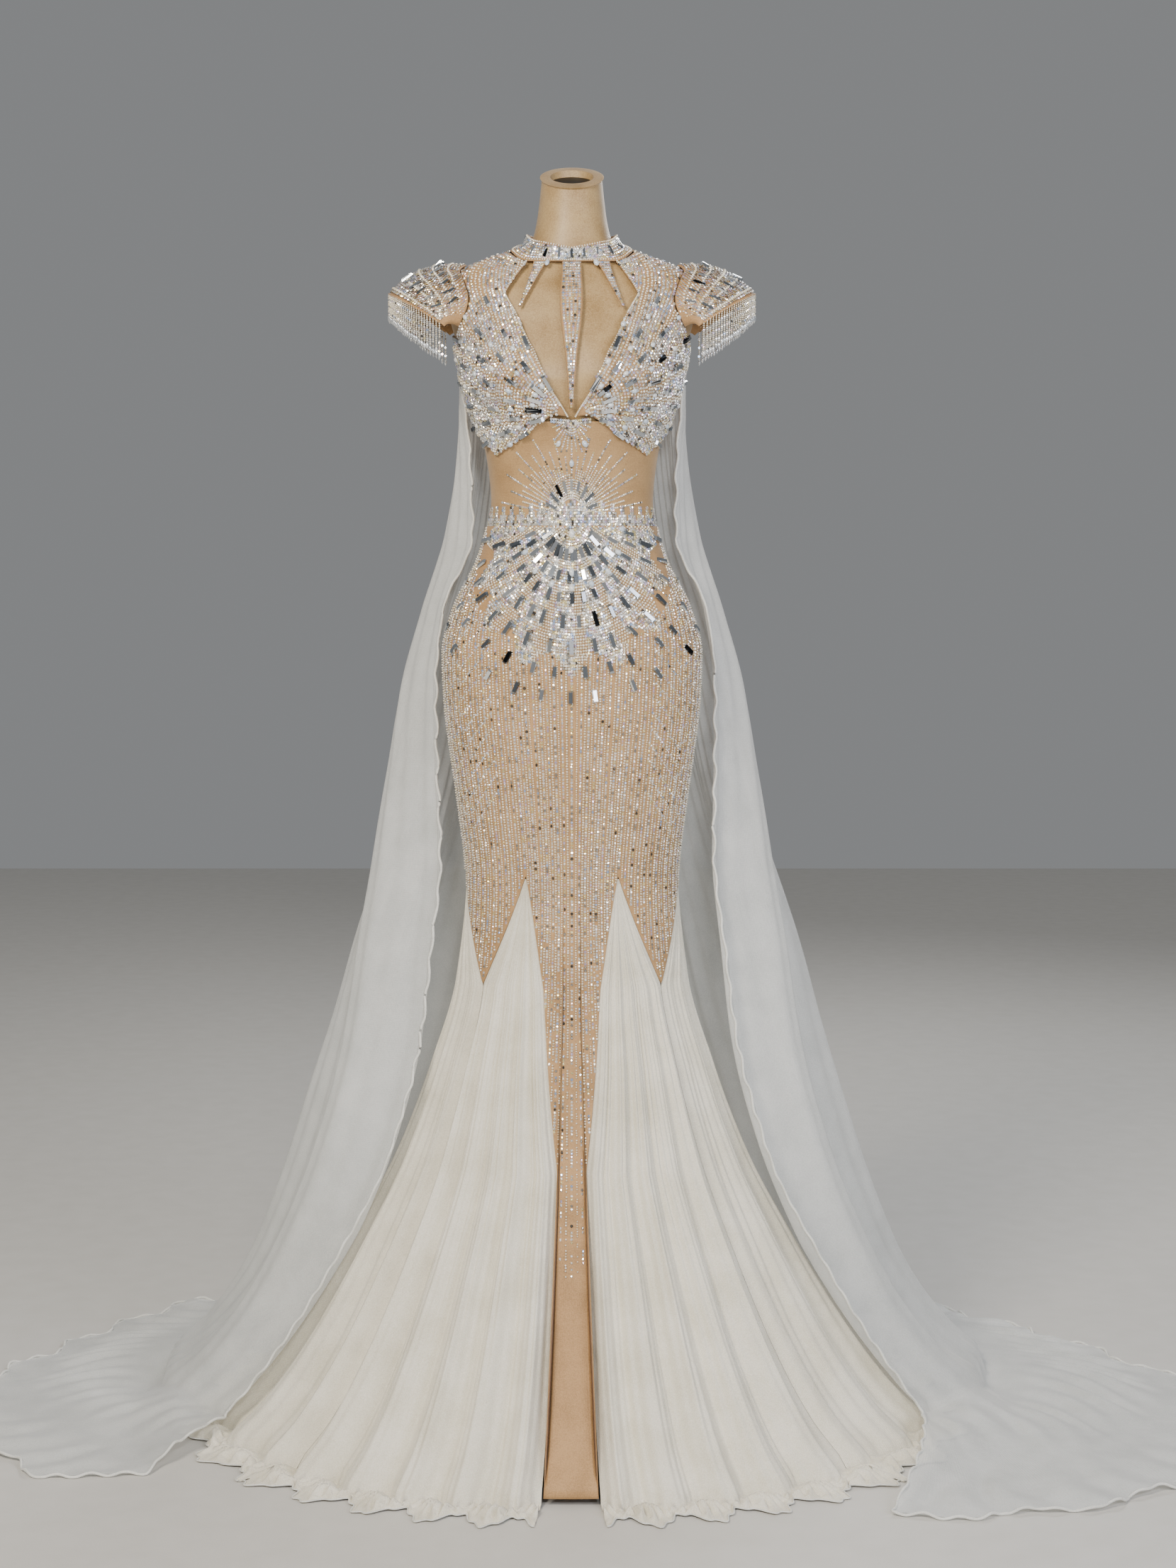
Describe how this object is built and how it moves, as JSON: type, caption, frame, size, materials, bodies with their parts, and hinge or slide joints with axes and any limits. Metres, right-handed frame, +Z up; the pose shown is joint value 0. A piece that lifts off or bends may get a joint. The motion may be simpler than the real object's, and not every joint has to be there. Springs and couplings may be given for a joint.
{
  "type": "pageant gown on a dress form",
  "caption": "Beaded mermaid gown with fringed cap sleeves, gathered tulle godets and a long cape that ends in a train, standing on a limbless dress form.",
  "frame": {"origin": "centre of the stand's foot, on the floor", "axes": "+Z up, the gown's front faces -Y, +X to the gown's left hand side as it is worn"},
  "size_m": [1.7217, 1.1222, 1.6833],
  "materials": {
    "form_satin": "tan satin jersey stretched over a smooth form",
    "socket_black": "matt black",
    "stand_steel": "satin black paint",
    "beaded_mesh": "nude mesh covered with silver crystals, mirror bars, opal stones, pearl seed beads and ring sequins",
    "nude_mesh": "sheer nude stretch mesh",
    "ivory_tulle": "soft ivory tulle, gathered",
    "lining_satin": "peach nude satin lining",
    "cape_organza": "cool white organza, half see-through, with a rolled hem"
  },
  "bodies": {
    "root": {"form_torso": "form_satin", "form_neck_socket": "socket_black", "form_pole": "stand_steel", "form_base": "stand_steel", "collar_band": "beaded_mesh", "keyhole_bar": "beaded_mesh", "keyhole_prong_left": "beaded_mesh", "keyhole_prong_right": "beaded_mesh", "bodice_front_left": "beaded_mesh", "bodice_front_right": "beaded_mesh", "bodice_back_left": "nude_mesh", "bodice_back_right": "nude_mesh", "cap_sleeve_left": "beaded_mesh", "cap_sleeve_right": "beaded_mesh", "sleeve_fringe_left": "beaded_mesh", "sleeve_fringe_right": "beaded_mesh", "midriff_mesh": "nude_mesh", "skirt_front": "beaded_mesh", "skirt_back": "beaded_mesh", "godet_front_left": "ivory_tulle", "godet_front_right": "ivory_tulle", "godet_side_left": "ivory_tulle", "godet_side_right": "ivory_tulle", "godet_back_left": "ivory_tulle", "godet_back_right": "ivory_tulle", "lining_long": "lining_satin", "lining_short": "lining_satin", "cape": "cape_organza"}
  },
  "joints": []
}
